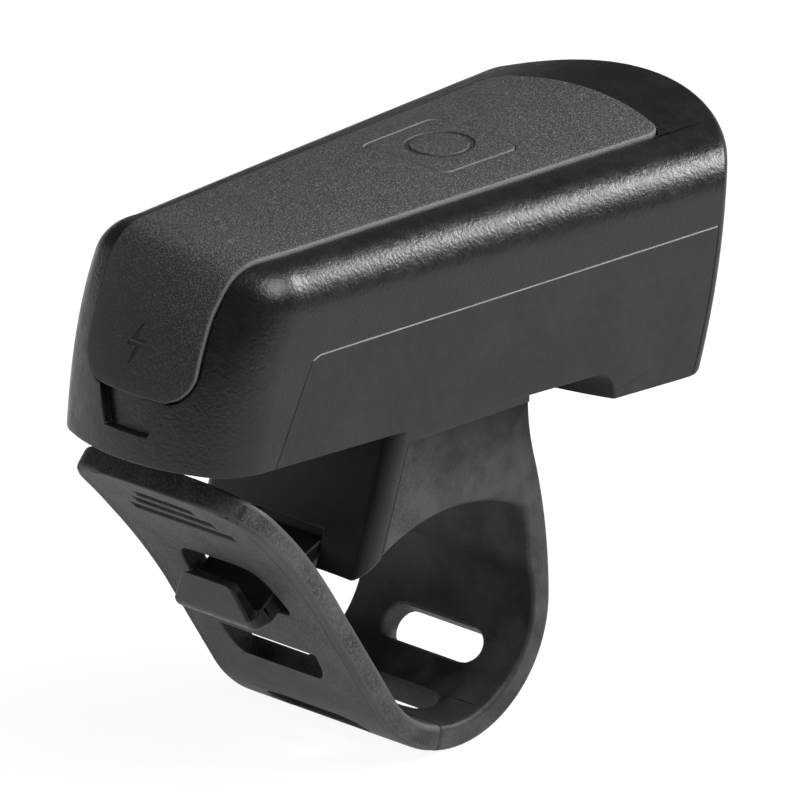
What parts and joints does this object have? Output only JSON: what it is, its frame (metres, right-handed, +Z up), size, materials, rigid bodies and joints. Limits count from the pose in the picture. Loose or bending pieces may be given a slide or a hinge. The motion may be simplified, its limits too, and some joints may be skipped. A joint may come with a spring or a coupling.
{
  "type": "bicycle headlight",
  "caption": "Battery bicycle headlight that slides on to a rubber strap clamp for the handlebar.",
  "frame": {"origin": "on the handlebar's axis, midway along the strap's width", "axes": "+X along the handlebar, to the rider's right; +Y the way the beam points; +Z up"},
  "size_m": [0.057, 0.1152, 0.0908],
  "materials": {
    "bracket_plastic": "semi-gloss",
    "strap_rubber": "dusty matt",
    "steel": "plated",
    "upper_plastic": "fine texture, satin",
    "lower_plastic": "matt",
    "seal_rubber": "matt",
    "pad_rubber": "fine grain",
    "flap_rubber": "smooth matt",
    "clear_lens": "clear",
    "mirror_coat": "vacuum metallised",
    "lamp_board": "white mask",
    "lamp_phosphor": "gloss",
    "aluminium": "milled",
    "wire_jacket": "satin",
    "cell_wrap": "shrink wrap",
    "nickel": "bright",
    "foam": "open cell",
    "circuit_board": "solder mask",
    "black_parts": "moulded",
    "brass_pins": "plated"
  },
  "bodies": {
    "clamp": {"bracket_frame": "bracket_plastic", "handlebar_strap": "strap_rubber", "release_pin": "steel"},
    "light": {"upper_housing": "upper_plastic", "lower_housing": "lower_plastic", "shell_gasket": "seal_rubber", "housing_screws": "steel", "top_pad": "pad_rubber", "front_lens": "clear_lens", "lens_gasket": "seal_rubber", "reflector": "mirror_coat", "led_board": "lamp_board", "led_emitter": "lamp_phosphor", "heat_sink": "aluminium", "led_leads": "wire_jacket", "battery_cell": "cell_wrap", "battery_tabs": "nickel", "battery_foam": "foam", "main_board": "circuit_board", "board_components": "black_parts", "tact_switch": "black_parts", "board_screws": "steel", "charging_board": "circuit_board", "charging_socket": "nickel", "link_pins": "brass_pins"},
    "button": {"power_button": "pad_rubber", "switch_plunger": "lower_plastic"},
    "flap": {"charging_flap": "flap_rubber"},
    "tail": {"strap_tail": "strap_rubber"},
    "release": {"release_tab": "bracket_plastic"}
  },
  "joints": [
    {"name": "light_slide", "type": "slide", "parent": "clamp", "child": "light", "axis": [0, 1, 0], "range_m": [0, 0.026]},
    {"name": "strap_bend", "type": "hinge", "parent": "clamp", "child": "tail", "pos_m": [0, -0.00501, -0.01936], "axis": [1, 0, 0], "range_deg": [0, 65], "stiffness_Nm_per_rad": 0.25},
    {"name": "release_press", "type": "hinge", "parent": "clamp", "child": "release", "pos_m": [0, 0.001, 0.0297], "axis": [-1, 0, 0], "range_deg": [0, 8], "stiffness_Nm_per_rad": 0.4},
    {"name": "button_press", "type": "slide", "parent": "light", "child": "button", "axis": [0, 0.0227, -0.9997], "range_m": [0, 0.0006], "stiffness_N_per_m": 2500},
    {"name": "flap_open", "type": "hinge", "parent": "light", "child": "flap", "pos_m": [0, -0.0476, 0.0614], "axis": [-1, 0, 0], "range_deg": [0, 110], "stiffness_Nm_per_rad": 0.02}
  ]
}
